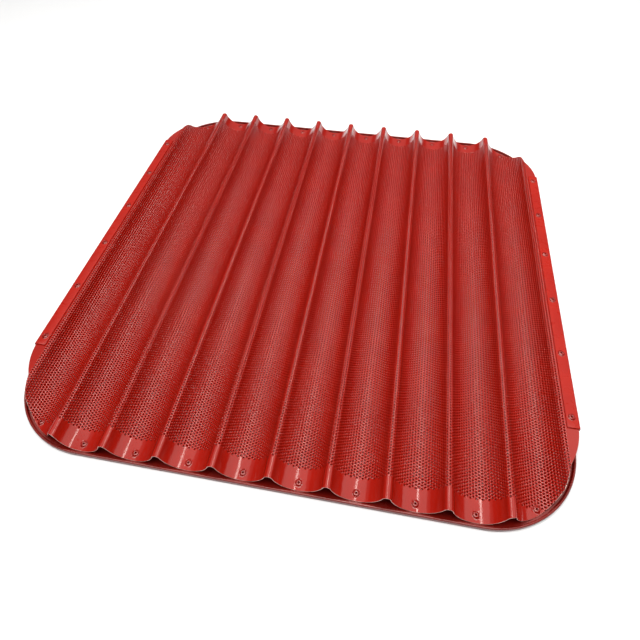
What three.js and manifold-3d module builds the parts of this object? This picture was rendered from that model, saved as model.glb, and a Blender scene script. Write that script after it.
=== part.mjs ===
// Baguette tray: a corrugated baking sheet riveted into a round-cornered frame, with an angle rail
// along each side. Millimetres, +Z up, X across the channels, Y along them, and the origin at the
// middle of the underside that the tray stands on.
//
// The perforation of the sheet is left out here: it doesn't change the outside of any piece.
import * as THREE from "three";
import { mergeVertices } from "three/addons/utils/BufferGeometryUtils.js";
import Module from "manifold-3d";

// Whole tray
const trayWidth = 750;
const trayDepth = 800;
const fitGap = 0.3; // air between two pieces that rest on each other

// Frame: an angle section bent into a ring, its flange flat on the ground and its lip turned up
const frameCornerRadius = 120;
const frameFlangeWidth = 34;
const frameFlangeThickness = 2;
const frameLipHeight = 7;
const frameLipThickness = 3;
const frameLipRound = 1.2;

// Corrugated sheet, with radii measured to the middle of its thickness
const channelCount = 10;
const channelPitch = 71;
const channelDepth = 26.2;
const crestRadius = 5;
const sheetThickness = 1;
const sheetEndSetback = 5.5; // from the frame's outer edge to the sheet's front and back ends
const sheetSideSetback = 1.8; // from the frame's outer edge to the sheet's side flanges
const sheetCornerRadius = 113; // of the cut through the outer channels
const sheetCornerX = 254; // where that round cut starts, from the middle of the tray
const flangeCornerRadius = 103; // of the cut that tapers each side flange to a tip
const flangeCornerStart = 258; // how far from the middle that taper starts
const flangeTipAt = 357; // X of the flange's tip, on the outer crest
const flangeTipInset = 8.5; // how far inwards the cut runs down from the tip to the outer channel

// Side rails: an angle on top of each side flange, its leg standing on the frame's lip
const railLength = 530;
const railWidth = 16.5;
const railThickness = 1.5;
const railBendRadius = 2.4;

// Rivets: tubular, with a low domed head on top
const rivetShankRadius = 2;
const rivetBoreRadius = 1.2;
const rivetHeadRadius = 4;
const rivetHeadHeight = 1.5;
const rivetRimHeight = 0.5; // the upright rim of the head, under its dome
const rivetShoulderRadius = 3.1;
const rivetShoulderDrop = 0.3; // from the crown of the head down to its shoulder
const rivetCrownRadius = 2;
const rivetMouthDrop = 0.15; // from the crown down to the mouth of the bore
const rivetTailRadius = 2.8;
const rivetTailHeight = 1; // how much of the tail widens into its flush countersink
const rivetTailRecess = 0.2; // how far a flush tail stays above the ground
const blindTailRadius = 2.9;
const blindTailHeight = 2.2;
const blindTailTaper = 0.65; // height of the cone at each end of that tail
const endRivetSetback = 9.5; // from the sheet's end to the rivets of the inner channels
const cornerRivetY = 366; // of the rivets in the two outer channels
const sideRivetSetback = 9.5; // from the frame's outer edge to the rivets of the rails
const sideRivetPitch = 100;
const sideRivetCount = 6;

// How finely round shapes are divided
const troughSteps = 12;
const crestSteps = 6;
const cornerSteps = 14;
const rivetSteps = 12;
const dedupe = 1e-4;
const clear = 5; // how far a cutting solid reaches past the faces that it cuts

// Worked out from the above
const halfWidth = trayWidth / 2;
const halfDepth = trayDepth / 2;
const halfSheet = halfDepth - sheetEndSetback;
const crestX = (channelCount * channelPitch) / 2; // the outermost crests
const halfSheetThickness = sheetThickness / 2;
const flankAngle = 2 * Math.atan(channelDepth / (channelPitch / 2)); // where trough meets crest
const troughRadius = channelPitch / 2 / Math.sin(flankAngle) - crestRadius;
const troughMiddle = frameFlangeThickness + fitGap + halfSheetThickness; // Z of the lowest line
const crestMiddle = troughMiddle + channelDepth;
const flangeTop = crestMiddle + halfSheetThickness;
const troughTop = troughMiddle + halfSheetThickness;
const railBottom = flangeTop + fitGap;
const railTop = railBottom + railThickness;
const holeRadius = rivetShankRadius + fitGap;
const endRivetY = halfSheet - endRivetSetback;
const sideRivetX = halfWidth - sideRivetSetback;

const wasm = await Module();
wasm.setup();

// A closed three.js geometry as a manifold solid.
function solidOf(geometry) {
  const bare = geometry.clone();
  bare.deleteAttribute("normal");
  bare.deleteAttribute("uv");
  const merged = mergeVertices(bare, dedupe);
  return new wasm.Manifold(
    new wasm.Mesh({
      numProp: 3,
      vertProperties: new Float32Array(merged.attributes.position.array),
      triVerts: new Uint32Array(merged.index.array),
    }),
  );
}

// A manifold solid as a three.js geometry.
function geometryOf(solid) {
  const mesh = solid.getMesh();
  const geometry = new THREE.BufferGeometry();
  geometry.setAttribute("position", new THREE.BufferAttribute(new Float32Array(mesh.vertProperties), 3));
  geometry.setIndex(new THREE.BufferAttribute(new Uint32Array(mesh.triVerts), 1));
  geometry.computeVertexNormals();
  return geometry;
}

// A plan outline in X and Y as a solid from one height to another.
function prism(shape, bottom, top) {
  const geometry = new THREE.ExtrudeGeometry(shape, {
    depth: top - bottom,
    bevelEnabled: false,
    curveSegments: cornerSteps,
  });
  return solidOf(geometry.translate(0, 0, bottom));
}

// An outline in X and Z, drawn out along Y and centred on it.
function alongY(shape, length) {
  const geometry = new THREE.ExtrudeGeometry(shape, {
    depth: length,
    bevelEnabled: false,
    curveSegments: crestSteps,
  });
  return geometry.rotateX(Math.PI / 2).translate(0, length / 2, 0);
}

// A closed profile of [radius, height] pairs turned about Z.
function turned(profile) {
  const points = [...profile, profile[0]].map(([radius, height]) => new THREE.Vector2(radius, height));
  return new THREE.LatheGeometry(points, rivetSteps).rotateX(Math.PI / 2);
}

// A round or conical drill that cuts from one height to another.
function drill(x, y, bottom, top, bottomRadius, topRadius = bottomRadius) {
  const geometry = new THREE.CylinderGeometry(topRadius, bottomRadius, top - bottom, rivetSteps);
  return solidOf(geometry.rotateX(Math.PI / 2).translate(x, y, (top + bottom) / 2));
}

// Where the rivets stand: one through each end of each channel, and a row along each rail.
function channelRivetPlaces() {
  const places = [];
  for (const [side, end] of [["front", -1], ["back", 1]]) {
    for (let channel = 0; channel < channelCount; channel++) {
      const outer = channel === 0 || channel === channelCount - 1;
      const x = (channel + 0.5) * channelPitch - crestX;
      places.push({ name: `rivet_${side}_${channel + 1}`, x, y: end * (outer ? cornerRivetY : endRivetY) });
    }
  }
  return places;
}

function railRivetPlaces(side) {
  return Array.from({ length: sideRivetCount }, (_, i) => ({
    name: `rivet_${side < 0 ? "left" : "right"}_${i + 1}`,
    x: side * sideRivetX,
    y: (i - (sideRivetCount - 1) / 2) * sideRivetPitch,
  }));
}

const channelRivets = channelRivetPlaces();
const railRivets = { left: railRivetPlaces(-1), right: railRivetPlaces(1) };

// The line of the corrugation in X and Z, at an offset above (or below) the middle of its thickness.
function corrugationLine(offset) {
  const points = [[-(halfWidth - sheetSideSetback), crestMiddle + offset]];
  const arc = (x, z, radius, from, to, steps) => {
    for (let i = 0; i <= steps; i++) {
      const angle = from + ((to - from) * i) / steps;
      points.push([x + radius * Math.sin(angle), z + radius * Math.cos(angle)]);
    }
  };
  const crest = (x, from, to, steps) =>
    arc(x, crestMiddle - crestRadius, crestRadius + offset, from, to, steps);
  crest(-crestX, 0, flankAngle, crestSteps / 2);
  for (let channel = 0; channel < channelCount; channel++) {
    const x = (channel + 0.5) * channelPitch - crestX;
    const radius = troughRadius - offset;
    arc(x, troughMiddle + troughRadius, radius, Math.PI + flankAngle, Math.PI - flankAngle, troughSteps);
    if (channel < channelCount - 1) {
      crest(x + channelPitch / 2, -flankAngle, flankAngle, crestSteps);
    }
  }
  crest(crestX, -flankAngle, 0, crestSteps / 2);
  points.push([halfWidth - sheetSideSetback, crestMiddle + offset]);
  // Trough and crest arcs share their end points, which are kept once.
  return points.filter(
    ([x, z], i) => i === 0 || Math.hypot(x - points[i - 1][0], z - points[i - 1][1]) > dedupe,
  );
}

// One corner of the sheet's plan, from the end edge round to the side edge, in the first quadrant.
function sheetCornerPoints() {
  const points = [];
  const cornerY = halfSheet - sheetCornerRadius;
  const lastX = flangeTipAt - flangeTipInset;
  const lastAngle = Math.asin((lastX - sheetCornerX) / sheetCornerRadius);
  for (let i = 0; i <= cornerSteps; i++) {
    const angle = (lastAngle * i) / cornerSteps;
    points.push([
      sheetCornerX + sheetCornerRadius * Math.sin(angle),
      cornerY + sheetCornerRadius * Math.cos(angle),
    ]);
  }
  const sideX = halfWidth - sheetSideSetback;
  const flangeCentreX = sideX - flangeCornerRadius;
  const tipAngle = Math.acos((flangeTipAt - flangeCentreX) / flangeCornerRadius);
  for (let i = cornerSteps; i >= 0; i--) {
    const angle = (tipAngle * i) / cornerSteps;
    points.push([
      flangeCentreX + flangeCornerRadius * Math.cos(angle),
      flangeCornerStart + flangeCornerRadius * Math.sin(angle),
    ]);
  }
  return points;
}

function sheetPlan() {
  const corner = sheetCornerPoints();
  const backwards = [...corner].reverse();
  const outline = [
    ...corner.map(([x, y]) => new THREE.Vector2(x, y)),
    ...backwards.map(([x, y]) => new THREE.Vector2(x, -y)),
    ...corner.map(([x, y]) => new THREE.Vector2(-x, -y)),
    ...backwards.map(([x, y]) => new THREE.Vector2(-x, y)),
  ];
  return new THREE.Shape(outline);
}

function buildSheet() {
  const over = corrugationLine(halfSheetThickness);
  const under = corrugationLine(-halfSheetThickness).reverse();
  const section = new THREE.Shape([...over, ...under].map(([x, z]) => new THREE.Vector2(x, z)));
  let sheet = solidOf(alongY(section, 2 * halfSheet + clear));
  sheet = sheet.intersect(prism(sheetPlan(), -clear, flangeTop + clear));
  for (const { x, y } of channelRivets) {
    sheet = sheet.subtract(drill(x, y, 0, troughTop + clear, holeRadius));
  }
  for (const { x, y } of [...railRivets.left, ...railRivets.right]) {
    sheet = sheet.subtract(drill(x, y, crestMiddle - clear, flangeTop + clear, holeRadius));
  }
  return geometryOf(sheet);
}

// A section of [distance inwards, height] pairs carried round the frame's outer edge.
function frameRing(section) {
  const path = [];
  const centreX = halfWidth - frameCornerRadius;
  const centreY = halfDepth - frameCornerRadius;
  for (const [signX, signY, start] of [[1, 1, 0], [-1, 1, 1], [-1, -1, 2], [1, -1, 3]]) {
    for (let i = 0; i <= cornerSteps; i++) {
      const angle = ((start + i / cornerSteps) * Math.PI) / 2;
      path.push({ x: signX * centreX, y: signY * centreY, cos: Math.cos(angle), sin: Math.sin(angle) });
    }
  }
  const positions = [];
  for (const { x, y, cos, sin } of path) {
    for (const [inwards, height] of section) {
      const radius = frameCornerRadius - inwards;
      positions.push(x + radius * cos, y + radius * sin, height);
    }
  }
  const triangles = [];
  for (let i = 0; i < path.length; i++) {
    const here = i * section.length;
    const next = ((i + 1) % path.length) * section.length;
    for (let j = 0; j < section.length; j++) {
      const k = (j + 1) % section.length;
      triangles.push(here + j, next + k, here + k, here + j, next + j, next + k);
    }
  }
  const geometry = new THREE.BufferGeometry();
  geometry.setAttribute("position", new THREE.Float32BufferAttribute(positions, 3));
  geometry.setIndex(triangles);
  return geometry;
}

function buildFrame() {
  const lipTop = frameLipHeight - frameLipRound;
  const lipInside = frameLipThickness - frameLipRound;
  const eased = frameLipRound * (1 - Math.SQRT1_2); // the middle of the rounded outer edge
  const section = [
    [0, 0],
    [0, lipTop],
    [eased, frameLipHeight - eased],
    [frameLipRound, frameLipHeight],
    [lipInside, frameLipHeight],
    [frameLipThickness, lipTop],
    [frameLipThickness, frameFlangeThickness],
    [frameFlangeWidth, frameFlangeThickness],
    [frameFlangeWidth, 0],
  ];
  let frame = solidOf(frameRing(section));
  const sinkRadius = rivetTailRadius + fitGap;
  const sinkTop = rivetTailRecess + rivetTailHeight + fitGap;
  for (const { x, y } of channelRivets) {
    frame = frame.subtract(drill(x, y, -clear, frameFlangeThickness + clear, holeRadius));
    frame = frame.subtract(drill(x, y, 0, sinkTop, sinkRadius, holeRadius));
  }
  return geometryOf(frame);
}

function buildRail(side) {
  const bendX = halfWidth - railBendRadius;
  const bendZ = railTop - railBendRadius;
  const innerX = halfWidth - railThickness;
  const legFoot = frameLipHeight + fitGap;
  const shape = new THREE.Shape();
  shape.moveTo(halfWidth - railWidth, railBottom);
  shape.lineTo(bendX, railBottom);
  shape.absarc(bendX, bendZ, railBendRadius - railThickness, Math.PI / 2, 0, true);
  shape.lineTo(innerX, legFoot);
  shape.lineTo(halfWidth, legFoot);
  shape.lineTo(halfWidth, bendZ);
  shape.absarc(bendX, bendZ, railBendRadius, 0, Math.PI / 2, false);
  shape.lineTo(halfWidth - railWidth, railTop);
  shape.closePath();
  const geometry = alongY(shape, railLength);
  if (side < 0) {
    geometry.rotateZ(Math.PI);
  }
  let rail = solidOf(geometry);
  for (const { x, y } of side < 0 ? railRivets.left : railRivets.right) {
    rail = rail.subtract(drill(x, y, railBottom - clear, railTop + clear, holeRadius));
  }
  return geometryOf(rail);
}

// The head of a rivet from its outer underside up over the dome to the mouth of its bore.
function rivetHeadProfile(seat) {
  const top = seat + rivetHeadHeight;
  return [
    [rivetHeadRadius, seat],
    [rivetHeadRadius, seat + rivetRimHeight],
    [rivetShoulderRadius, top - rivetShoulderDrop],
    [rivetCrownRadius, top],
    [rivetBoreRadius, top - rivetMouthDrop],
  ];
}

// A rivet through a channel's end: its tail fills a countersink flush with the frame's underside.
function channelRivetGeometry() {
  const headSag = troughRadius - Math.sqrt(troughRadius ** 2 - rivetHeadRadius ** 2);
  const seat = troughTop + headSag + fitGap;
  return turned([
    [rivetBoreRadius, rivetTailRecess],
    [rivetTailRadius, rivetTailRecess],
    [rivetShankRadius, rivetTailRecess + rivetTailHeight],
    [rivetShankRadius, seat],
    ...rivetHeadProfile(seat),
  ]);
}

// A rivet through a rail and the flange under it: its tail is a bulb in the open space below.
function railRivetGeometry() {
  const seat = railTop + fitGap;
  const grip = crestMiddle - halfSheetThickness - fitGap;
  return turned([
    [rivetBoreRadius, grip - blindTailHeight],
    [rivetShankRadius, grip - blindTailHeight],
    [blindTailRadius, grip - blindTailHeight + blindTailTaper],
    [blindTailRadius, grip - blindTailTaper],
    [rivetShankRadius, grip],
    [rivetShankRadius, seat],
    ...rivetHeadProfile(seat),
  ]);
}

const coatedRed = { color: 0xb3221c, roughness: 0.3, metalness: 0 };
const tray = new THREE.Group();

function addPiece(name, geometry, x = 0, y = 0) {
  const piece = new THREE.Mesh(geometry, new THREE.MeshStandardMaterial(coatedRed));
  piece.name = name;
  piece.position.set(x, y, 0);
  tray.add(piece);
}

addPiece("corrugated_sheet", buildSheet());
addPiece("frame", buildFrame());
addPiece("side_rail_left", buildRail(-1));
addPiece("side_rail_right", buildRail(1));
channelRivets.forEach(({ name, x, y }) => addPiece(name, channelRivetGeometry(), x, y));
[...railRivets.left, ...railRivets.right].forEach(({ name, x, y }) =>
  addPiece(name, railRivetGeometry(), x, y),
);

export default tray;
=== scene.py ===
"""Looks for the baguette tray: perforated corrugated sheet, frame, side rails and rivets, all under
one glossy red coat. Lengths in the mesh code are millimetres until a mesh is made."""
import math

import bpy
import numpy as np
from mathutils import Matrix, Vector
from mathutils.geometry import delaunay_2d_cdt


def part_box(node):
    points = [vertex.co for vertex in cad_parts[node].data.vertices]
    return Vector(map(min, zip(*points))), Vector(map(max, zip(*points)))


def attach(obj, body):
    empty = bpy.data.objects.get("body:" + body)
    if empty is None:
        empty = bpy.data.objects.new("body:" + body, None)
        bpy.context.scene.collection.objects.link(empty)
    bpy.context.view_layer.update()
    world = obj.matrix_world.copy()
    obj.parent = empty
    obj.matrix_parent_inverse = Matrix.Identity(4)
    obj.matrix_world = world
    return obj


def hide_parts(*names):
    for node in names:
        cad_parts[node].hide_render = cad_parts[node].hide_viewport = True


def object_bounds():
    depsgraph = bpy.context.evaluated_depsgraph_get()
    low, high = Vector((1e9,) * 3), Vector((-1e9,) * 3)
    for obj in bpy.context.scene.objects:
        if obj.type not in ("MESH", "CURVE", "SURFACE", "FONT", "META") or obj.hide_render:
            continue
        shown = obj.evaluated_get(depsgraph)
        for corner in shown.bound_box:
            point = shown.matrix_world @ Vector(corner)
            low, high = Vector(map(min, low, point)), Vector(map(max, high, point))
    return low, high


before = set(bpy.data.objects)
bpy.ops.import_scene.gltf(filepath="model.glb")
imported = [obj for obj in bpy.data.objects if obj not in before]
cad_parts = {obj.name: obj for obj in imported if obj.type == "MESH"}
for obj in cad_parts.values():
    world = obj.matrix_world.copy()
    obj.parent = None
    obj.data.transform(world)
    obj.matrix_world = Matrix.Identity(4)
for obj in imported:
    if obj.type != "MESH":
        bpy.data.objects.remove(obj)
cad_low, cad_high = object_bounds()

MM = 0.001


def box(node):
    """Lowest and highest corner of a CAD node, in millimetres."""
    low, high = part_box(node)
    return np.array(low) / MM, np.array(high) / MM


def centre(node):
    low, high = box(node)
    return (low + high) / 2


sheet_low, sheet_high = box("corrugated_sheet")
_, frame_high = box("frame")
rail_low, rail_high = box("side_rail_right")

# Corrugated sheet
CHANNELS = 10
PITCH = centre("rivet_front_2")[0] - centre("rivet_front_1")[0]
THICKNESS = 1.0
CREST_RADIUS = 5.0
DEPTH = sheet_high[2] - sheet_low[2] - THICKNESS
FLANK = 2 * math.atan(DEPTH / (PITCH / 2))
TROUGH_RADIUS = PITCH / 2 / math.sin(FLANK) - CREST_RADIUS
TROUGH_Z = sheet_low[2] + THICKNESS / 2
CREST_Z = TROUGH_Z + DEPTH
CREST_X = CHANNELS * PITCH / 2
FLAT_PITCH = 2 * FLANK * (TROUGH_RADIUS + CREST_RADIUS)  # one channel, rolled out flat
CREST_U = CHANNELS * FLAT_PITCH / 2
SHEET_END = sheet_high[1]
SHEET_SIDE = sheet_high[0]
SIDE_U = CREST_U + SHEET_SIDE - CREST_X

# Cut of the sheet's corners, in plan
CORNER_RADIUS = 113.0
CORNER_X = 254.0
CORNER_Y = SHEET_END - CORNER_RADIUS
CORNER_LAST_X = 348.5
TIP_X = 357.0
FLANGE_RADIUS = 103.0
FLANGE_X = SHEET_SIDE - FLANGE_RADIUS
FLANGE_Y = 258.0

# Perforation: staggered holes, a little wider apart across the channels than along them
HOLE_PITCH = 4.02
HOLE_RADIUS = 1.1  # corner radius of a six-sided hole with the area of a 2 mm round one
COLUMN_STEP = 3.69
STRETCH = COLUMN_STEP / (HOLE_PITCH * math.sqrt(3) / 2)
CELL_RADIUS = HOLE_PITCH / math.sqrt(3)
COAT_IN_HOLE = 0.55  # the coat gathers at the lower rim and narrows the hole there
RIM_TILT = 1.3  # how far the coat leans the surface over at a hole's rim
LAST_COLUMN = 128
LAST_ROW = 91
END_CLEARANCE = 0.3  # least distance from a whole cell to the sheet's outline
RIVET_CLEARANCE = 0.25  # least metal between a hole and a rivet's bore

# Edges of the sheet: the coat is thinner at its cut ends and rounds every rim
END_THINNING = 0.2
END_TILT = 0.9
END_LEAN = 0.6
HOLE_LEAN = 0.05
RIM_INSET = 0.35  # a second line of points inside the outline, so that its shading stays narrow

# How finely the plain margins are divided
TROUGH_LINES = 37
CREST_LINES = 7
MARGIN_STEP = 5.2
FLANGE_STEP = 6
FLANGE_END = 306
CORNER_START = 300.3
CORNER_END = 366
CORNER_STEP = 3

# Frame
FRAME_RADIUS = 120.0
FLANGE_WIDTH = 34.0
FLANGE_THICKNESS = 2.0
LIP_THICKNESS = 3.0
LIP_HEIGHT = frame_high[2]

RAIL_THICKNESS = 1.5
RAIL_BEND = 2.4
RIVET_BORE = 1.2
TAIL_BORE = 0.35  # where the coat has gathered in the bore's lower end
RIVET_SHANK = 2.0
RIVET_HEIGHT = 1.5  # of the head
SHEET_BORE = 2.3
SINK_RADIUS = 3.1
SINK_TOP = 1.5
BORE_POINTS = 24  # round each hole in the frame and the rails
SHARP_BEND = 38  # degrees, over which an edge of the frame or a rail is shaded sharp
SHARP_RIVET = 42

SHEET_RIVETS = [f"rivet_{end}_{i + 1}" for end in ("front", "back") for i in range(CHANNELS)]
RAIL_RIVETS = [f"rivet_{side}_{i + 1}" for side in ("left", "right") for i in range(6)]


# ---------------------------------------------------------------- meshes
def make_object(name, points, faces, material, replaced, normals=None, layer=None):
    """A mesh piece from points in millimetres and lists of faces, each an array of equal-sided ones.
    normals holds an array of corner normals for each list of faces."""
    mesh = bpy.data.meshes.new(name)
    faces = [np.asarray(f, np.int32) for f in faces if len(f)]
    loops = np.concatenate([f.ravel() for f in faces])
    sizes = np.concatenate([np.full(len(f), f.shape[1], np.int32) for f in faces])
    starts = np.concatenate([[0], np.cumsum(sizes)[:-1]]).astype(np.int32)
    mesh.vertices.add(len(points))
    mesh.vertices.foreach_set("co", (np.asarray(points, float) * MM).astype(np.float32).ravel())
    mesh.loops.add(len(loops))
    mesh.loops.foreach_set("vertex_index", loops)
    mesh.polygons.add(len(sizes))
    mesh.polygons.foreach_set("loop_start", starts)
    mesh.polygons.foreach_set("use_smooth", np.ones(len(sizes), bool))
    mesh.update(calc_edges=True)
    if layer is not None:
        attribute = mesh.attributes.new("edge", "FLOAT", "POINT")
        attribute.data.foreach_set("value", np.asarray(layer, np.float32))
    if normals is not None:
        stacked = np.concatenate([n.reshape(-1, 3) for n in normals if len(n)])
        mesh.normals_split_custom_set(stacked.astype(np.float32))
    mesh.materials.append(material)
    piece = bpy.data.objects.new(name, mesh)
    bpy.context.scene.collection.objects.link(piece)
    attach(piece, "root")
    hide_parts(replaced)
    return piece


def unit(v):
    return v / np.maximum(np.linalg.norm(v, axis=-1, keepdims=True), 1e-12)


def triangulated(points, edges):
    """Constrained triangulation of the convex hull. Returns points, triangles and, for each point, the
    index of the point given, or -1 for a new one."""
    made = delaunay_2d_cdt([Vector(p) for p in points], edges, [], 0, 1e-5)
    given = np.array([o[0] if o else -1 for o in made[3]])
    out = np.array([tuple(v) for v in made[0]], float)
    known = given >= 0
    out[known] = np.asarray(points, float)[given[known]]
    return out, np.array([tuple(f) for f in made[2]], np.int64), given


def boundary(faces):
    """Directed edges that have no neighbour, from lists of faces."""
    starts = np.concatenate([f.ravel() for f in faces])
    ends = np.concatenate([np.roll(f, -1, axis=1).ravel() for f in faces])
    span = int(max(starts.max(), ends.max())) + 1
    key, back = starts * span + ends, ends * span + starts
    alone = ~np.isin(key, back)
    return starts[alone], ends[alone]


# ---------------------------------------------------------------- corrugated sheet
def corrugation(u):
    """X, Z and slope of the sheet's middle surface at distance u along the rolled-out sheet."""
    u = np.asarray(u, float)
    channel = np.clip(np.floor((u + CREST_U) / FLAT_PITCH), 0, CHANNELS - 1)
    middle_u = (channel + 0.5) * FLAT_PITCH - CREST_U
    middle_x = (channel + 0.5) * PITCH - CREST_X
    w = np.clip(u - middle_u, -FLAT_PITCH / 2, FLAT_PITCH / 2)
    side = np.sign(w)
    trough = w / TROUGH_RADIUS
    crest = (FLAT_PITCH / 2 - np.abs(w)) / CREST_RADIUS
    low = np.abs(trough) <= FLANK
    slope = np.where(low, trough, side * crest)
    x = np.where(
        low,
        middle_x + TROUGH_RADIUS * np.sin(trough),
        middle_x + side * (PITCH / 2 - CREST_RADIUS * np.sin(crest)),
    )
    z = np.where(
        low,
        TROUGH_Z + TROUGH_RADIUS * (1 - np.cos(trough)),
        CREST_Z - CREST_RADIUS * (1 - np.cos(crest)),
    )
    flat = np.maximum(np.abs(u) - CREST_U, 0)
    return x + np.sign(u) * flat, z, np.where(flat > 0, 0, slope)


def rolled_out(x):
    """Distance u of the point at X, the inverse of corrugation()."""
    x = np.asarray(x, float)
    channel = np.clip(np.floor((x + CREST_X) / PITCH), 0, CHANNELS - 1)
    w = np.clip(x - (channel + 0.5) * PITCH + CREST_X, -PITCH / 2, PITCH / 2)
    reach = TROUGH_RADIUS * math.sin(FLANK)
    low = TROUGH_RADIUS * np.arcsin(np.clip(w / TROUGH_RADIUS, -1, 1))
    high = FLAT_PITCH / 2 - CREST_RADIUS * np.arcsin(np.clip((PITCH / 2 - np.abs(w)) / CREST_RADIUS, 0, 1))
    u = np.where(np.abs(w) <= reach, low, np.sign(w) * high)
    flat = np.sign(x) * np.maximum(np.abs(x) - CREST_X, 0)
    return u + (channel + 0.5) * FLAT_PITCH - CREST_U + flat


def end_of_sheet(u):
    """Where the sheet's outline ends along Y, at distance u."""
    x = np.abs(corrugation(u)[0])
    corner = CORNER_Y + np.sqrt(np.maximum(CORNER_RADIUS**2 - (x - CORNER_X) ** 2, 0))
    flange = FLANGE_Y + np.sqrt(np.maximum(FLANGE_RADIUS**2 - (x - FLANGE_X) ** 2, 0))
    last_y = CORNER_Y + math.sqrt(CORNER_RADIUS**2 - (CORNER_LAST_X - CORNER_X) ** 2)
    tip_y = FLANGE_Y + math.sqrt(FLANGE_RADIUS**2 - (TIP_X - FLANGE_X) ** 2)
    line = last_y + (tip_y - last_y) * (x - CORNER_LAST_X) / (TIP_X - CORNER_LAST_X)
    return np.select([x <= CORNER_X, x <= CORNER_LAST_X, x <= TIP_X], [SHEET_END, corner, line], flange)


def half_outline():
    """The outline of the sheet's back half in u and v, from the left side edge round to the right."""
    u = [np.array([CREST_U + (TIP_X - CREST_X)])]
    turned = np.linspace(0, math.asin((CORNER_LAST_X - CORNER_X) / CORNER_RADIUS), 80)
    u.append(rolled_out(CORNER_X + CORNER_RADIUS * np.sin(turned)))
    u.append(np.linspace(u[1][-1], u[0][0], 14)[1:-1])
    tip = math.acos((TIP_X - FLANGE_X) / FLANGE_RADIUS)
    taper = FLANGE_X + FLANGE_RADIUS * np.cos(np.linspace(tip, 0, 30)[1:])
    u.append(rolled_out(taper))
    u.append(trough_lines())
    right = np.unique(np.round(np.concatenate([x[x >= 0] for x in u]), 6))
    keep = np.concatenate([[True], np.diff(right) > 0.02])
    keep[-1] = True
    right = right[keep]
    points = np.c_[right, end_of_sheet(right)]
    points[-1] = (SIDE_U, FLANGE_Y)
    left = points[::-1] * (-1, 1)
    if points[0, 0] == 0:
        left = left[:-1]
    return np.concatenate([[(-SIDE_U, 0)], left, points, [(SIDE_U, 0)]])


def trough_lines():
    """Distances u at which the plain margins are divided, closer together on the crests."""
    lines = []
    for channel in range(CHANNELS):
        middle = (channel + 0.5) * FLAT_PITCH - CREST_U
        reach = TROUGH_RADIUS * FLANK
        lines.append(middle + np.linspace(-reach, reach, TROUGH_LINES))
        crest = np.linspace(0, CREST_RADIUS * FLANK, CREST_LINES)[:-1]
        lines.append(middle + FLAT_PITCH / 2 - crest)
        lines.append(middle - FLAT_PITCH / 2 + crest)
    lines = np.sort(np.concatenate(lines))
    return lines[np.concatenate([[True], np.diff(lines) > 0.05])]


def around(middle, radius, count, phase=0.0):
    angle = 2 * math.pi * (np.arange(count) + phase) / count
    return np.c_[middle[0] + radius * np.cos(angle), middle[1] + radius * np.sin(angle)]


def loop_edges(first, count):
    return [(first + i, first + (i + 1) % count) for i in range(count)]


def cells():
    """Centres of all the perforation's cells, and which lie whole inside the sheet or only in part."""
    centres = []
    for column in range(-LAST_COLUMN, LAST_COLUMN + 1):
        odd = column % 2
        rows = HOLE_PITCH * np.arange(-LAST_ROW, LAST_ROW + 1 - odd) + odd * HOLE_PITCH / 2
        centres.append(np.c_[np.full(len(rows), column * COLUMN_STEP), rows])
    centres = np.concatenate(centres)
    hexagon = around((0, 0), CELL_RADIUS, 6) * (STRETCH, 1)
    rim = around((0, 0), HOLE_RADIUS, 6)
    corner = centres[:, None] + hexagon
    whole = (np.abs(corner[..., 1]) < end_of_sheet(corner[..., 0]) - END_CLEARANCE).all(1)
    mouth = centres[:, None] + rim
    touched = (np.abs(mouth[..., 1]) < end_of_sheet(mouth[..., 0])).any(1) & ~whole
    for name in SHEET_RIVETS:
        middle = centre(name)
        from_rivet = np.hypot(centres[:, 0] - rolled_out(middle[0]), centres[:, 1] - middle[1])
        near = from_rivet < SHEET_BORE + CELL_RADIUS * STRETCH + END_CLEARANCE
        clear = from_rivet > SHEET_BORE + HOLE_RADIUS + RIVET_CLEARANCE
        touched |= near & whole & clear
        whole &= ~near
        touched &= ~near | clear
    return centres, whole, touched


def split_lines():
    """Distances u along which the margins divide between neighbouring channels' pieces."""
    crests = np.arange(1, CHANNELS) * FLAT_PITCH - CREST_U
    last = np.ceil(crests / COLUMN_STEP - 1e-9) - 1
    return last * COLUMN_STEP + CELL_RADIUS / 2 * STRETCH


def inner_points(solid, cut, rivets):
    """Points inside the margins, so that their triangles follow the corrugation."""
    rows_end = np.arange(LAST_ROW * HOLE_PITCH + 4, SHEET_END - 1.5, MARGIN_STEP)
    grid = np.array([(u, v) for u in trough_lines() for v in rows_end])
    first_free = (LAST_COLUMN + 0.5) * COLUMN_STEP + 1.5
    flange_lines = np.linspace(first_free, SIDE_U - 1.6, 4)
    flange_rows = range(0, FLANGE_END, FLANGE_STEP)
    flange = np.array([(s * u, v) for s in (-1, 1) for u in flange_lines for v in flange_rows])
    corner_lines = trough_lines()
    corner_lines = corner_lines[np.abs(corner_lines) > CREST_U - FLAT_PITCH]
    corner_rows = np.arange(CORNER_START, CORNER_END, CORNER_STEP)
    corner = np.array([(u, v) for u in corner_lines for v in corner_rows])
    grid = np.concatenate([grid, flange, corner])
    inside = grid[:, 1] < end_of_sheet(grid[:, 0]) - 1.0
    near_whole = nearest_distance(grid, solid) < CELL_RADIUS * STRETCH + 0.4
    near_cut = nearest_distance(grid, cut) < HOLE_RADIUS + 0.5
    near_rivet = nearest_distance(grid, rivets) < SHEET_BORE + 0.6
    return grid[inside & ~near_whole & ~near_cut & ~near_rivet]


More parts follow.
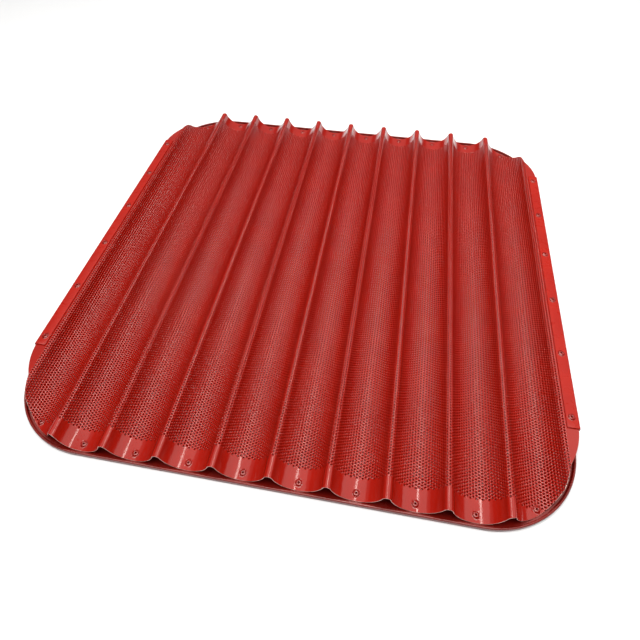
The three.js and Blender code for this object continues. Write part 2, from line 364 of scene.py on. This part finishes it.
def margin_mesh(centres, whole, touched, cell_points, cell_faces):
    """Triangles of the back half outside the whole cells: end margin, side flanges and cut corner."""
    outline = half_outline()
    inward = unit(np.roll(outline, -1, 0) - np.roll(outline, 1, 0))
    inward = np.c_[inward[:, 1], -inward[:, 0]]
    inset = (outline + RIM_INSET * inward)[1:-1]
    inset = np.concatenate([[(-SIDE_U + RIM_INSET, 0)], inset, [(SIDE_U - RIM_INSET, 0)]])
    points = [outline, inset]
    edges = [(i, i + 1) for i in range(len(outline) - 1)]
    edges += [(len(outline) + i, len(outline) + i + 1) for i in range(len(inset) - 1)]
    count = len(outline) + len(inset)

    # The outer edges of the whole cells, without the rims of their holes
    a, b = boundary([cell_faces])
    on_rim = np.zeros(len(cell_points), bool)
    on_rim[cell_faces[:, 2:].ravel()] = True
    keep = ~on_rim[a] & ~on_rim[b] & (cell_points[a, 1] > -1e-6) & (cell_points[b, 1] > -1e-6)
    a, b = a[keep], b[keep]
    used = np.unique(np.concatenate([a, b]))
    place = np.searchsorted(used, a), np.searchsorted(used, b)
    edges += [(count + i, count + j) for i, j in zip(*place)]
    points.append(cell_points[used])
    lattice_first = count
    count += len(used)

    cut = centres[touched & (centres[:, 1] > 0)]
    for middle in cut:
        points.append(around(middle, HOLE_RADIUS, 6))
        edges += loop_edges(count, 6)
        count += 6
    rivets = []
    for name in SHEET_RIVETS + RAIL_RIVETS:
        middle = centre(name)
        if middle[1] > 0:
            rivets.append((rolled_out(middle[0]), middle[1]))
            points.append(around(rivets[-1], SHEET_BORE, 16))
            edges += loop_edges(count, 16)
            count += 16
    rivets = np.array(rivets)

    for u in split_lines():
        foot = cell_points[used][np.abs(cell_points[used, 0] - u) < 1e-4][:, 1].max()
        points.append(np.array([(u, foot + 0.5), (u, SHEET_END)]))
        nearest = lattice_first + int(
            np.argmin(np.hypot(*(cell_points[used] - (u, foot)).T))
        )
        edges += [(nearest, count), (count, count + 1)]
        count += 2

    solid = centres[whole]
    points.append(inner_points(solid, cut, rivets))

    given = np.concatenate(points)
    made, triangles, _ = triangulated(given, edges)
    middle = made[triangles].mean(1)
    keep = middle[:, 1] < polyline(outline, middle[:, 0])
    keep &= middle[:, 1] > 0
    narrowed = np.array([1 / STRETCH, 1])
    keep &= ~inside_regular(middle * narrowed, solid * narrowed, CELL_RADIUS)
    keep &= ~inside_regular(middle, cut, HOLE_RADIUS)
    keep &= nearest_distance(middle, rivets) > SHEET_BORE * math.cos(math.pi / 16)
    triangles = triangles[keep]
    p, q, r = (made[triangles[:, i]] for i in range(3))
    area = (q[:, 0] - p[:, 0]) * (r[:, 1] - p[:, 1]) - (q[:, 1] - p[:, 1]) * (r[:, 0] - p[:, 0])
    triangles[area < 0] = triangles[area < 0][:, ::-1]
    return made, triangles[np.abs(area) > 1e-7]


def polyline(points, u):
    inner = points[1:-1]
    return np.interp(u, inner[:, 0], inner[:, 1], left=0, right=0)


def nearest_distance(points, places):
    """Distance from each point to the nearest place, by sorting the places into square bins."""
    return np.hypot(*(points - nearest_place(points, places)).T)


def nearest_place(points, places):
    if not len(places):
        return np.full(points.shape, 1e9)
    size = 6.0
    low = np.minimum(points.min(0), places.min(0)) - 2 * size
    span = int((max(points[:, 1].max(), places[:, 1].max()) - low[1]) / size) + 6
    bins = {}
    for i, (a, b) in enumerate(((places - low) / size).astype(int)):
        bins.setdefault(a * span + b, []).append(i)
    best = np.full(points.shape, 1e9)
    for i, (a, b) in enumerate(((points - low) / size).astype(int)):
        around_it = [(a + da) * span + b + db for da in (-1, 0, 1) for db in (-1, 0, 1)]
        found = [k for key in around_it for k in bins.get(key, ())]
        if found:
            near = places[found]
            best[i] = near[np.argmin(np.hypot(*(near - points[i]).T))]
    return best


def inside_regular(points, places, radius):
    """Which points lie in a hexagon, with a corner along +u, of the nearest place."""
    away = np.abs(points - nearest_place(points, places))
    apothem = radius * math.sqrt(3) / 2
    slanted = away[:, 0] * math.sqrt(3) / 2 + away[:, 1] / 2
    return (away[:, 1] < apothem + 1e-3) & (slanted < apothem + 1e-3)


def merged(points, faces):
    """Shared points for lists of faces."""
    keys = np.rint(points * 2000).astype(np.int64)
    _, first, index = np.unique(keys[:, 0] * 4_000_003 + keys[:, 1], return_index=True, return_inverse=True)
    return points[first], [index.ravel()[f] for f in faces]


def sheet_pieces(material):
    centres, whole, touched = cells()
    solid = centres[whole]
    cell = around((0, 0), CELL_RADIUS, 6) * (STRETCH, 1)
    ring = np.concatenate([cell, around((0, 0), HOLE_RADIUS, 6)])
    points = (solid[:, None] + ring).reshape(-1, 2)
    quad = np.array([(i, (i + 1) % 6, 6 + (i + 1) % 6, 6 + i) for i in range(6)])
    quads = (np.arange(len(solid))[:, None, None] * 12 + quad).reshape(-1, 4)
    points, (quads,) = merged(points, [quads])
    margin, triangles = margin_mesh(centres, whole, touched, points, quads)
    first = len(points)
    mirror = margin * (1, -1)
    points = np.concatenate([points, margin, mirror])
    triangles = np.concatenate([triangles + first, triangles[:, ::-1] + first + len(margin)])
    points, (quads, triangles) = merged(points, [quads, triangles])

    a, b = boundary([quads, triangles])
    along = points[b] - points[a]
    outward = unit(np.c_[along[:, 1], -along[:, 0]])
    aside = np.zeros_like(points)
    np.add.at(aside, a, outward)
    np.add.at(aside, b, outward)
    aside = unit(aside)
    at_edge = np.zeros(len(points), bool)
    at_edge[a] = at_edge[b] = True
    cut_end = np.abs(np.abs(points[:, 1]) - end_of_sheet(points[:, 0])) < 0.03
    cut_end |= np.abs(np.abs(points[:, 0]) - SIDE_U) < 0.01
    cut_end &= at_edge
    aside[~at_edge] = 0

    x, z, slope = corrugation(points[:, 0])
    up = np.c_[-np.sin(slope), np.zeros(len(x)), np.cos(slope)]
    tangent = np.c_[np.cos(slope), np.zeros(len(x)), np.sin(slope)]
    sideways = aside[:, :1] * tangent + aside[:, 1:] * np.array([0.0, 1.0, 0.0])
    half = np.where(cut_end, THICKNESS / 2 - END_THINNING, THICKNESS / 2)
    middle = np.c_[x, points[:, 1], z]
    top, bottom = middle + up * half[:, None], middle - up * half[:, None]
    bottom = bottom + sideways * np.where(at_edge & ~cut_end, COAT_IN_HOLE, 0.0)[:, None]
    tilt = np.where(cut_end, END_TILT, np.where(at_edge, RIM_TILT, 0.0))[:, None]
    top_normal, bottom_normal = unit(up + tilt * sideways), unit(-up + tilt * sideways)
    lean = np.where(cut_end, END_LEAN, HOLE_LEAN)[:, None]
    wall_top, wall_bottom = unit(sideways + lean * up), unit(sideways - lean * up)

    lines = split_lines()
    columns = np.rint(points[quads][:, :, 0].mean(1) / COLUMN_STEP)
    quad_channel = np.searchsorted(lines, columns * COLUMN_STEP + 1e-6)
    triangle_channel = np.searchsorted(lines, points[triangles][:, :, 0].mean(1))
    for channel in range(CHANNELS):
        mine = [quads[quad_channel == channel], triangles[triangle_channel == channel]]
        inner = np.zeros(len(points), bool)
        for f in mine:
            inner[f.ravel()] = True
        used = np.flatnonzero(inner)
        index = np.full(len(points), -1)
        index[used] = np.arange(len(used))
        count = len(used)
        starts = np.concatenate([f.ravel() for f in mine])
        ends = np.concatenate([np.roll(f, -1, axis=1).ravel() for f in mine])
        own = np.isin(a * len(points) + b, starts * len(points) + ends)
        p, q = a[own], b[own]
        walls = np.c_[index[q], index[p], index[p] + count, index[q] + count]
        faces = [index[f] for f in mine] + [index[f][:, ::-1] + count for f in mine] + [walls]
        normals = [top_normal[f] for f in mine] + [bottom_normal[f][:, ::-1] for f in mine]
        normals.append(np.stack([wall_top[q], wall_top[p], wall_bottom[p], wall_bottom[q]], axis=1))
        # Edge mark: 1 on the cut ends, which the coat paints with a pale highlight, 0.5 on hole rims, which
        # the coat leaves unpainted.
        edge = np.tile(np.where(cut_end, 1.0, np.where(at_edge, 0.5, 0.0))[used], 2)
        make_object(
            f"sheet_channel_{channel + 1}",
            np.concatenate([top[used], bottom[used]]),
            faces,
            material,
            "corrugated_sheet",
            normals,
            edge,
        )


# ---------------------------------------------------------------- frame, rails and rivets
def arc(middle, radius, start, stop, steps):
    angle = np.radians(np.linspace(start, stop, steps + 1))
    return np.c_[middle[0] + radius * np.cos(angle), middle[1] + radius * np.sin(angle)]


def flat_plate(outer, holes, inner=None):
    """Triangles of a flat outline with round holes in it. The outline's points keep their numbers."""
    points = [outer]
    edges = loop_edges(0, len(outer))
    count = len(outer)
    if inner is not None:
        points.append(inner)
        edges += loop_edges(count, len(inner))
        count += len(inner)
    for middle, radius in holes:
        points.append(around(middle, radius, BORE_POINTS))
        edges += loop_edges(count, BORE_POINTS)
        count += BORE_POINTS
    given = np.concatenate(points)
    made, triangles, origin = triangulated(given, edges)
    middle = made[triangles].mean(1)
    keep = inside_polygon(middle, outer)
    if inner is not None:
        keep &= ~inside_polygon(middle, inner)
    for place, radius in holes:
        keep &= np.hypot(*(middle - place).T) > radius * math.cos(math.pi / BORE_POINTS)
    triangles = triangles[keep]
    p, q, r = (made[triangles[:, i]] for i in range(3))
    area = (q[:, 0] - p[:, 0]) * (r[:, 1] - p[:, 1]) - (q[:, 1] - p[:, 1]) * (r[:, 0] - p[:, 0])
    triangles[area < 0] = triangles[area < 0][:, ::-1]
    triangles = triangles[np.abs(area) > 1e-7]
    back = np.where(origin >= 0, origin, 0)
    return given, back[triangles]


def inside_polygon(points, polygon):
    inside = np.zeros(len(points), bool)
    x, y = points[:, 0], points[:, 1]
    for (x0, y0), (x1, y1) in zip(polygon, np.roll(polygon, -1, 0)):
        if y0 == y1:
            continue
        crosses = (y0 > y) != (y1 > y)
        inside ^= crosses & (x < (x1 - x0) * (y - y0) / (y1 - y0) + x0)
    return inside


def ring_path():
    """Where the frame's outer edge runs: a point at the frame's corner centre, a direction outwards."""
    half_x, half_y = frame_high[0] - FRAME_RADIUS, frame_high[1] - FRAME_RADIUS
    path = []
    corners = [(1, 1, 0), (-1, 1, 90), (-1, -1, 180), (1, -1, 270)]
    for n, (sx, sy, start) in enumerate(corners):
        for angle in np.radians(np.linspace(start, start + 90, 41)):
            path.append((sx * half_x, sy * half_y, math.cos(angle), math.sin(angle)))
        nx, ny, _ = corners[(n + 1) % 4]
        end = math.radians(start + 90)
        for t in np.linspace(0, 1, 15)[1:-1]:
            middle = (sx * half_x * (1 - t) + nx * half_x * t, sy * half_y * (1 - t) + ny * half_y * t)
            path.append((*middle, math.cos(end), math.sin(end)))
    return np.array(path)


def frame_piece(material):
    path = ring_path()
    edge = 0.5
    lip = LIP_THICKNESS / 2
    lip_side = [
        arc((edge, edge), edge, 270, 180, 4),
        arc((lip + 0.02, LIP_HEIGHT - lip), lip, 180, 0, 14),
        arc((LIP_THICKNESS + 1.2, FLANGE_THICKNESS + 1.2), 1.16, 180, 270, 6),
    ]
    inner_side = [
        arc((FLANGE_WIDTH - edge, FLANGE_THICKNESS - edge), edge, 90, 0, 4),
        arc((FLANGE_WIDTH - edge, edge), edge, 0, -90, 4),
    ]
    section = np.concatenate(lip_side + inner_side)
    crease_end = sum(len(a) for a in lip_side) - 1  # where the flange's flat top begins
    n, m = len(path), len(section)
    radius = FRAME_RADIUS - section[:, 0]
    x = path[:, None, 0] + path[:, None, 2] * radius
    y = path[:, None, 1] + path[:, None, 3] * radius
    z = np.broadcast_to(section[:, 1], x.shape)
    points = np.stack([x, y, z], axis=2).reshape(-1, 3)
    quads = []
    for j in range(m - 1):
        if j == crease_end:
            continue
        here = np.arange(n) * m + j
        after = np.roll(np.arange(n), -1) * m + j
        quads.append(np.c_[here, after, after + 1, here + 1])
    points, faces = [points], [np.concatenate(quads)]
    count = n * m
    bores = [centre(name)[:2] for name in SHEET_RIVETS]
    for height, hole, outside, inside, turn in (
        (FLANGE_THICKNESS, SHEET_BORE, crease_end, crease_end + 1, 1),
        (0.0, SINK_RADIUS, 0, m - 1, -1),
    ):
        rings = [np.c_[x[:, j], y[:, j]] for j in (outside, inside)]
        given, triangles = flat_plate(rings[0], [(b, hole) for b in bores], rings[1])
        index = np.arange(len(given)) + count - 2 * n
        index[:n] = np.arange(n) * m + outside
        index[n : 2 * n] = np.arange(n) * m + inside
        points.append(np.c_[given[2 * n :], np.full(len(given) - 2 * n, height)])
        faces.append(index[triangles][:, ::turn])
        if turn == 1:
            top_first = count
        else:
            low_first = count
        count += len(given) - 2 * n
    # Countersinks from the underside up to the bores
    neck_height = np.full(BORE_POINTS, SINK_TOP)
    points += [np.c_[around(b, SHEET_BORE, BORE_POINTS), neck_height] for b in bores]
    walls = []
    for k in range(len(bores)):
        low, mid, top = (first + BORE_POINTS * k for first in (low_first, count, top_first))
        for i in range(BORE_POINTS):
            j = (i + 1) % BORE_POINTS
            walls.append((low + i, mid + i, mid + j, low + j))
            walls.append((mid + i, top + i, top + j, mid + j))
    faces.append(np.array(walls))
    points = np.concatenate(points)
    piece = make_object(
        "frame_ring", points, faces, material, "frame", layer=np.zeros(len(points))
    )
    piece.data.set_sharp_from_angle(angle=math.radians(SHARP_BEND))


def rail_piece(name, side, material):
    edge = 0.45
    top, foot = rail_high[2], rail_low[2]
    outer = rail_high[0]
    under = top - RAIL_THICKNESS
    inner_bend = RAIL_BEND - RAIL_THICKNESS
    inner_edge = [
        arc((rail_low[0] + edge, under + edge), edge, 270, 180, 3),
        arc((rail_low[0] + edge, top - edge), edge, 180, 90, 3),
    ]
    bend_and_leg = [
        arc((outer - RAIL_BEND, top - RAIL_BEND), RAIL_BEND, 90, 0, 8),
        arc((outer - edge, foot + edge), edge, 0, -90, 3),
        arc((outer - RAIL_THICKNESS + edge, foot + edge), edge, 270, 180, 3),
        arc((outer - RAIL_BEND, top - RAIL_BEND), inner_bend, 0, 90, 5),
    ]
    section = np.concatenate(inner_edge + bend_and_leg)
    flat_top = sum(len(a) for a in inner_edge) - 1
    m = len(section)
    half = rail_high[1]
    ends = [(-half, 0.35), (-half + 0.15, 0.1), (-half + 0.4, 0.0)]
    between = np.linspace(-half + 20, half - 20, 13)
    stations = np.concatenate([[e[0] for e in ends], between, [-e[0] for e in ends[::-1]]])
    shrink = np.concatenate([[e[1] for e in ends], np.zeros_like(between), [e[1] for e in ends[::-1]]])
    after, before = np.roll(section, -1, 0), np.roll(section, 1, 0)
    along = unit(after - before)
    inward = np.c_[along[:, 1], -along[:, 0]]
    rows = []
    for y, s in zip(stations, shrink):
        ring = section + inward * s
        rows.append(np.c_[ring[:, 0], np.full(m, y), ring[:, 1]])
    n = len(stations)
    points = [np.concatenate(rows)]
    first, last = 2, n - 3
    quads = []
    for j in range(m):
        k = (j + 1) % m
        if j == flat_top or j == m - 1:
            spans = list(range(0, first)) + list(range(last, n - 1))
        else:
            spans = list(range(n - 1))
        for i in spans:
            quads.append((i * m + j, i * m + k, (i + 1) * m + k, (i + 1) * m + j))
    count = n * m
    faces = [np.array(quads)]
    bores = [centre(r)[:2] * (side, 1) for r in RAIL_RIVETS if side * centre(r)[0] > 0]
    stations_flat = list(range(first, last + 1))
    places = []
    for height, j, k, turn in ((top, flat_top, flat_top + 1, 1), (under, 0, m - 1, -1)):
        columns = [[i * m + jj for i in stations_flat] for jj in (j, k)]
        order = columns[1] + columns[0][::-1]
        outline = points[0][order][:, :2]
        given, triangles = flat_plate(outline, [(b, SHEET_BORE) for b in bores])
        index = np.arange(len(given)) + count - len(order)
        index[: len(order)] = order
        points.append(np.c_[given[len(order) :], np.full(len(given) - len(order), height)])
        faces.append(index[triangles][:, ::turn])
        places.append(count)
        count += len(given) - len(order)
    walls = []
    for k in range(len(bores)):
        high, low = (place + BORE_POINTS * k for place in places)
        for i in range(BORE_POINTS):
            j = (i + 1) % BORE_POINTS
            walls.append((low + i, high + i, high + j, low + j))
    faces.append(np.array(walls))
    points = np.concatenate(points)
    faces.append(np.array([list(range(m))]))
    faces.append(np.array([[(n - 1) * m + j for j in range(m)][::-1]]))
    if side < 0:
        points = points * (-1, 1, 1)
        faces = [f[:, ::-1] for f in faces]
    piece = make_object(name + "_angle", points, faces, material, name, layer=np.zeros(len(points)))
    piece.data.set_sharp_from_angle(angle=math.radians(SHARP_BEND))


def surface_height(x):
    """Height of the sheet's upper face under a channel rivet."""
    channel = np.floor((x + CREST_X) / PITCH)
    w = x - (channel + 0.5) * PITCH + CREST_X
    radius = TROUGH_RADIUS - THICKNESS / 2
    return TROUGH_Z + TROUGH_RADIUS - np.sqrt(radius**2 - w**2)


def rivet_profile(low_z, top, head, on_rail):
    """Radius and height of points up the outside of a hollow rivet, over its head and down its bore."""
    seat = top - RIVET_HEIGHT
    dome = [
        (head - 0.12, seat),
        (head, seat + 0.18),
        (head - 0.02, seat + 0.5),
        (head - 0.28, seat + 0.82),
        (head - 0.85, seat + 1.16),
        (head - 1.5, seat + 1.4),
        (head - 2.05, top),
        (RIVET_BORE + 0.42, top - 0.02),
        (RIVET_BORE + 0.12, top - 0.16),
        (RIVET_BORE, top - 0.5),
    ]
    if on_rail:
        grip = CREST_Z - THICKNESS / 2 - 0.3
        tail = [
            (RIVET_BORE, low_z + 1.6),
            (TAIL_BORE, low_z + 0.9),
            (TAIL_BORE, low_z),
            (RIVET_SHANK, low_z),
            (2.6, low_z + 0.25),
            (2.9, low_z + 0.8),
            (2.9, grip - 0.7),
            (2.5, grip - 0.15),
            (RIVET_SHANK, grip),
        ]
    else:
        tail = [
            (RIVET_BORE, low_z + 1.3),
            (TAIL_BORE, low_z + 0.7),
            (TAIL_BORE, low_z),
            (2.7, low_z),
            (2.8, low_z + 0.1),
            (RIVET_SHANK, low_z + 1.0),
        ]
    return np.array(tail + [(RIVET_SHANK, seat)] + dome)


def pool_reach(turn, head, random):
    """How far the coat ran from a rivet's middle in each direction: uneven, with a lobe to each end."""
    wave = sum(random.normal(0, 0.12) * np.cos(i * turn + random.uniform(0, 6.3)) for i in (1, 2, 3, 5))
    reach = head + 1.0 + 0.25 * random.uniform() + wave
    for toward in (0.5 * math.pi, 1.5 * math.pi):
        off = np.angle(np.exp(1j * (turn - toward - random.normal(0, 0.25))))
        reach = reach + random.uniform(0.2, 2.2) * np.exp(-((off / 0.42) ** 2))
    return reach


def coat_pool(x, y, head, seat, on_rail, first, random):
    """The coat that pooled round a rivet's head: a low fillet with an uneven foot. Its points count on
    from first."""
    steps = 64
    turn = 2 * math.pi * np.arange(steps) / steps
    reach = pool_reach(turn, head, random)
    share = np.array([0.0, 0.04, 0.12, 0.26, 0.5, 0.8, 1.0])
    rise = (1 - share) ** 2.6
    radius = (head - 0.25) + (reach[:, None] - head + 0.25) * share
    px, py = x + radius * np.cos(turn)[:, None], y + radius * np.sin(turn)[:, None]
    ground = np.full(px.shape, rail_high[2]) if on_rail else surface_height(px)
    start = seat + 0.45
    pz = ground + (start - ground[:, :1]) * rise - 0.02 * share
    skin = np.stack([px, py, pz], axis=2)
    under = skin.copy()
    under[..., 2] = np.minimum(under[..., 2], ground) - 0.12
    s = len(share)
    quads = []
    for i in range(steps):
        n = (i + 1) % steps
        for c in range(s - 1):
            a, b = first + i * s + c, first + n * s + c
            quads.append((a, a + 1, b + 1, b))
            a, b = a + steps * s, b + steps * s
            quads.append((a, b, b + 1, a + 1))
        a, b = first + i * s, first + n * s
        quads.append((a, b, b + steps * s, a + steps * s))
        a, b = a + s - 1, b + s - 1
        quads.append((a, a + steps * s, b + steps * s, b))
    return [skin.reshape(-1, 3), under.reshape(-1, 3)], np.array(quads)


def rivet_piece(name, material, random):
    low, high = box(name)
    x, y = (low[:2] + high[:2]) / 2
    on_rail = name in RAIL_RIVETS
    head = (high[0] - low[0]) / 2
    top = high[2]
    steps = 40
    profile = rivet_profile(low[2], top, head, on_rail)
    angle = 2 * math.pi * np.arange(steps) / steps
    m = len(profile)
    turned = np.stack(
        [
            x + profile[None, :, 0] * np.cos(angle)[:, None],
            y + profile[None, :, 0] * np.sin(angle)[:, None],
            np.broadcast_to(profile[:, 1], (steps, m)),
        ],
        axis=2,
    )
    here = np.arange(steps)[:, None] * m
    after = np.roll(np.arange(steps), -1)[:, None] * m
    j = np.arange(m)
    k = (j + 1) % m
    shell = np.stack([here + j, after + j, after + k, here + k], axis=2).reshape(-1, 4)
    pool_points, pool_faces = coat_pool(x, y, head, top - RIVET_HEIGHT, on_rail, steps * m, random)
    points = np.concatenate([turned.reshape(-1, 3)] + pool_points)
    faces = [shell, pool_faces]
    piece = make_object("coated_" + name, points, faces, material, name, layer=np.zeros(len(points)))
    piece.data.set_sharp_from_angle(angle=math.radians(SHARP_RIVET))


# ---------------------------------------------------------------- materials
def noise(tree, coordinate, scale, detail=3.0, roughness=0.5):
    made = tree.nodes.new("ShaderNodeTexNoise")
    made.inputs["Scale"].default_value = scale
    made.inputs["Detail"].default_value = detail
    made.inputs["Roughness"].default_value = roughness
    tree.links.new(coordinate, made.inputs["Vector"])
    return made.outputs["Fac"]


def ranged(tree, value, low, high, to_low, to_high):
    made = tree.nodes.new("ShaderNodeMapRange")
    tree.links.new(value, made.inputs["Value"])
    for socket, number in (("From Min", low), ("From Max", high), ("To Min", to_low), ("To Max", to_high)):
        made.inputs[socket].default_value = number
    return made.outputs["Result"]


def mixed(tree, factor, a, b):
    made = tree.nodes.new("ShaderNodeMix")
    made.data_type = "RGBA"
    tree.links.new(factor, made.inputs["Factor"])
    for socket, value in ((made.inputs[6], a), (made.inputs[7], b)):
        if isinstance(value, tuple):
            socket.default_value = (*value, 1)
        else:
            tree.links.new(value, socket)
    return made.outputs[2]


def coat(name, base, deep, edge_highlight, gloss, peel, ior=1.5):
    """Glossy red coat: cloudy colour, deeper in random patches, with a pale painted highlight in patches
    where the edge mark is 1, on the sheet's cut ends.
    """
    material = bpy.data.materials.new(name)
    material.use_nodes = True
    tree = material.node_tree
    shader = tree.nodes["Principled BSDF"]
    place = tree.nodes.new("ShaderNodeTexCoord").outputs["Object"]
    cloudy = noise(tree, place, 22.0, 4.0)
    colour = mixed(tree, ranged(tree, cloudy, 0.35, 0.65, 0, 1), base, deep)
    fine = noise(tree, place, 900.0, 2.0)
    colour = mixed(tree, ranged(tree, fine, 0.3, 0.7, 0.0, 0.22), colour, deep)
    # Painted highlight: where the edge mark is 1, on the sheet's cut ends, the colour turns towards the
    # pale highlight colour, in patches along the edge.
    edge = tree.nodes.new("ShaderNodeAttribute")
    edge.attribute_name = "edge"
    highlight_breakup = ranged(tree, noise(tree, place, 160.0, 3.0), 0.35, 0.7, 0.35, 1.0)
    along = tree.nodes.new("ShaderNodeMath")
    along.operation = "MULTIPLY"
    tree.links.new(ranged(tree, edge.outputs["Fac"], 0.55, 1.0, 0.0, 0.8), along.inputs[0])
    tree.links.new(highlight_breakup, along.inputs[1])
    colour = mixed(tree, along.outputs[0], colour, edge_highlight)
    tree.links.new(colour, shader.inputs["Base Color"])
    rough = ranged(tree, noise(tree, place, 60.0, 4.0), 0.3, 0.7, gloss - 0.04, gloss + 0.05)
    tree.links.new(rough, shader.inputs["Roughness"])
    shader.inputs["IOR"].default_value = ior
    broad = tree.nodes.new("ShaderNodeBump")
    broad.inputs["Strength"].default_value = 0.5
    broad.inputs["Distance"].default_value = peel
    tree.links.new(noise(tree, place, 95.0, 3.0), broad.inputs["Height"])
    small = tree.nodes.new("ShaderNodeBump")
    small.inputs["Strength"].default_value = 0.4
    small.inputs["Distance"].default_value = peel * 0.25
    tree.links.new(noise(tree, place, 620.0, 2.0), small.inputs["Height"])
    tree.links.new(broad.outputs["Normal"], small.inputs["Normal"])
    tree.links.new(small.outputs["Normal"], shader.inputs["Normal"])
    return material


# Colour of the painted highlight on cut ends. The frame, rails and rivets mark no edge, so on them it never
# shows.
EDGE_HIGHLIGHT = (0.60, 0.24, 0.20)
# One red coat in four copies of different brightness. Against the sheet, the frame and the rivets are
# painted darker, as painted shade, and the rails lighter, as painted light.
sheet_coat = coat(
    # The sheet's third colour, near white, is its painted highlight on the cut ends.
    "sheet_coat", (0.275, 0.0058, 0.0016), (0.250, 0.0046, 0.0013), (0.95, 0.78, 0.72), 0.13, 0.0004
)
frame_coat_painted_shade = coat("frame_coat_painted_shade", (0.17, 0.0042, 0.0014), (0.13, 0.0030, 0.0011), EDGE_HIGHLIGHT, 0.26, 0.0006)
rail_coat_painted_light = coat("rail_coat_painted_light", (0.32, 0.0078, 0.0022), (0.28, 0.0056, 0.0016), EDGE_HIGHLIGHT, 0.28, 0.0003, 1.33)
rivet_coat_painted_shade = coat("rivet_coat_painted_shade", (0.23, 0.0050, 0.0018), (0.18, 0.0036, 0.0013), EDGE_HIGHLIGHT, 0.12, 0.0004)

# ---------------------------------------------------------------- the object
random = np.random.default_rng(7)
sheet_pieces(sheet_coat)
frame_piece(frame_coat_painted_shade)
rail_piece("side_rail_left", -1, rail_coat_painted_light)
rail_piece("side_rail_right", 1, rail_coat_painted_light)
for rivet in SHEET_RIVETS + RAIL_RIVETS:
    rivet_piece(rivet, rivet_coat_painted_shade, random)


# ---------------------------------------------------------------- floor, light and camera
def floor_piece():
    size = 6.0
    mesh = bpy.data.meshes.new("floor")
    z = cad_low[2] - 0.0003  # just under the tray, so that the two faces never coincide
    corners = [(-size, -size, z), (size, -size, z), (size, size, z), (-size, size, z)]
    mesh.from_pydata(corners, [], [(0, 1, 2, 3)])
    floor = bpy.data.objects.new("floor", mesh)
    bpy.context.scene.collection.objects.link(floor)
    material = bpy.data.materials.new("floor_paint")
    material.use_nodes = True
    tree = material.node_tree
    shader = tree.nodes["Principled BSDF"]
    place = tree.nodes.new("ShaderNodeTexCoord").outputs["Object"]
    shade = ranged(tree, noise(tree, place, 3.0, 3.0), 0.3, 0.7, 0.0, 1.0)
    tree.links.new(mixed(tree, shade, (0.76, 0.79, 0.84), (0.74, 0.77, 0.82)), shader.inputs["Base Color"])
    shader.inputs["Roughness"].default_value = 0.9
    shader.inputs["Specular IOR Level"].default_value = 0.1
    mesh.materials.append(material)


def soft_box(name, location, size, size_y, radiance):
    """A soft box of even brightness, facing down: its power is the radiance times pi times its area."""
    data = bpy.data.lights.new(name, "AREA")
    data.shape = "RECTANGLE"
    data.size, data.size_y = size, size_y
    data.energy = radiance * math.pi * size * size_y
    data.color = (1.0, 0.955, 0.885)
    light = bpy.data.objects.new(name, data)
    light.location = location
    light.rotation_mode = "QUATERNION"
    light.rotation_quaternion = Vector((0.0, 0.0, -1.0)).to_track_quat("-Z", "Y")
    bpy.context.scene.collection.objects.link(light)


floor_piece()
# The four ceiling panels are what the channels mirror, the strip makes the fine line in each margin,
# and the overhead box lights the colour of the coat. Metres; the size along X comes before that along Y.
CEILING = 1.9
soft_box("ceiling_near", (1.75, 0.85, CEILING), 6.4, 1.3, 1.5)
soft_box("ceiling_middle", (1.75, 2.1, CEILING), 6.4, 1.2, 0.50)
soft_box("ceiling_far", (1.75, 4.0, CEILING), 6.4, 2.6, 0.38)
soft_box("ceiling_edge", (-2.0, 2.75, CEILING), 1.1, 5.1, 0.35)
soft_box("overhead", (-0.2, -0.6, 2.7), 3.4, 1.6, 7.0)
soft_box("strip", (0.15, 0.35, 0.78), 0.07, 1.4, 15.0)
world = bpy.data.worlds.new("studio")
world.use_nodes = True
world.node_tree.nodes["Background"].inputs["Color"].default_value = (1, 1, 1, 1)
world.node_tree.nodes["Background"].inputs["Strength"].default_value = 0.1
bpy.context.scene.world = world
bpy.context.scene.view_settings.view_transform = "Standard"

# Camera: lens in millimetres, shift as a share of the picture, turns in radians, place in millimetres
LENS = 29.25
SHIFT = (0.02034, -0.043)
YAW, PITCH_DOWN, ROLL = -0.18991, 0.85373, 0.01019
EYE = (93.90, -622.38, 639.90)


def camera():
    sa, ca, sb, cb = math.sin(YAW), math.cos(YAW), math.sin(PITCH_DOWN), math.cos(PITCH_DOWN)
    forward = Vector((sa * cb, ca * cb, -sb))
    right = Vector((ca, -sa, 0.0))
    down = forward.cross(right)
    sr, cr = math.sin(ROLL), math.cos(ROLL)
    across, below = cr * right + sr * down, -sr * right + cr * down
    data = bpy.data.cameras.new("camera")
    data.sensor_width = 36.0
    data.lens = LENS
    data.shift_x, data.shift_y = SHIFT
    data.clip_start, data.clip_end = 0.01, 50.0
    eye = bpy.data.objects.new("camera", data)
    turn = Matrix((across, -below, -forward)).transposed().to_4x4()
    eye.matrix_world = Matrix.Translation(Vector(EYE) * MM) @ turn
    bpy.context.scene.collection.objects.link(eye)
    bpy.context.scene.camera = eye


camera()
bpy.context.view_layer.update()
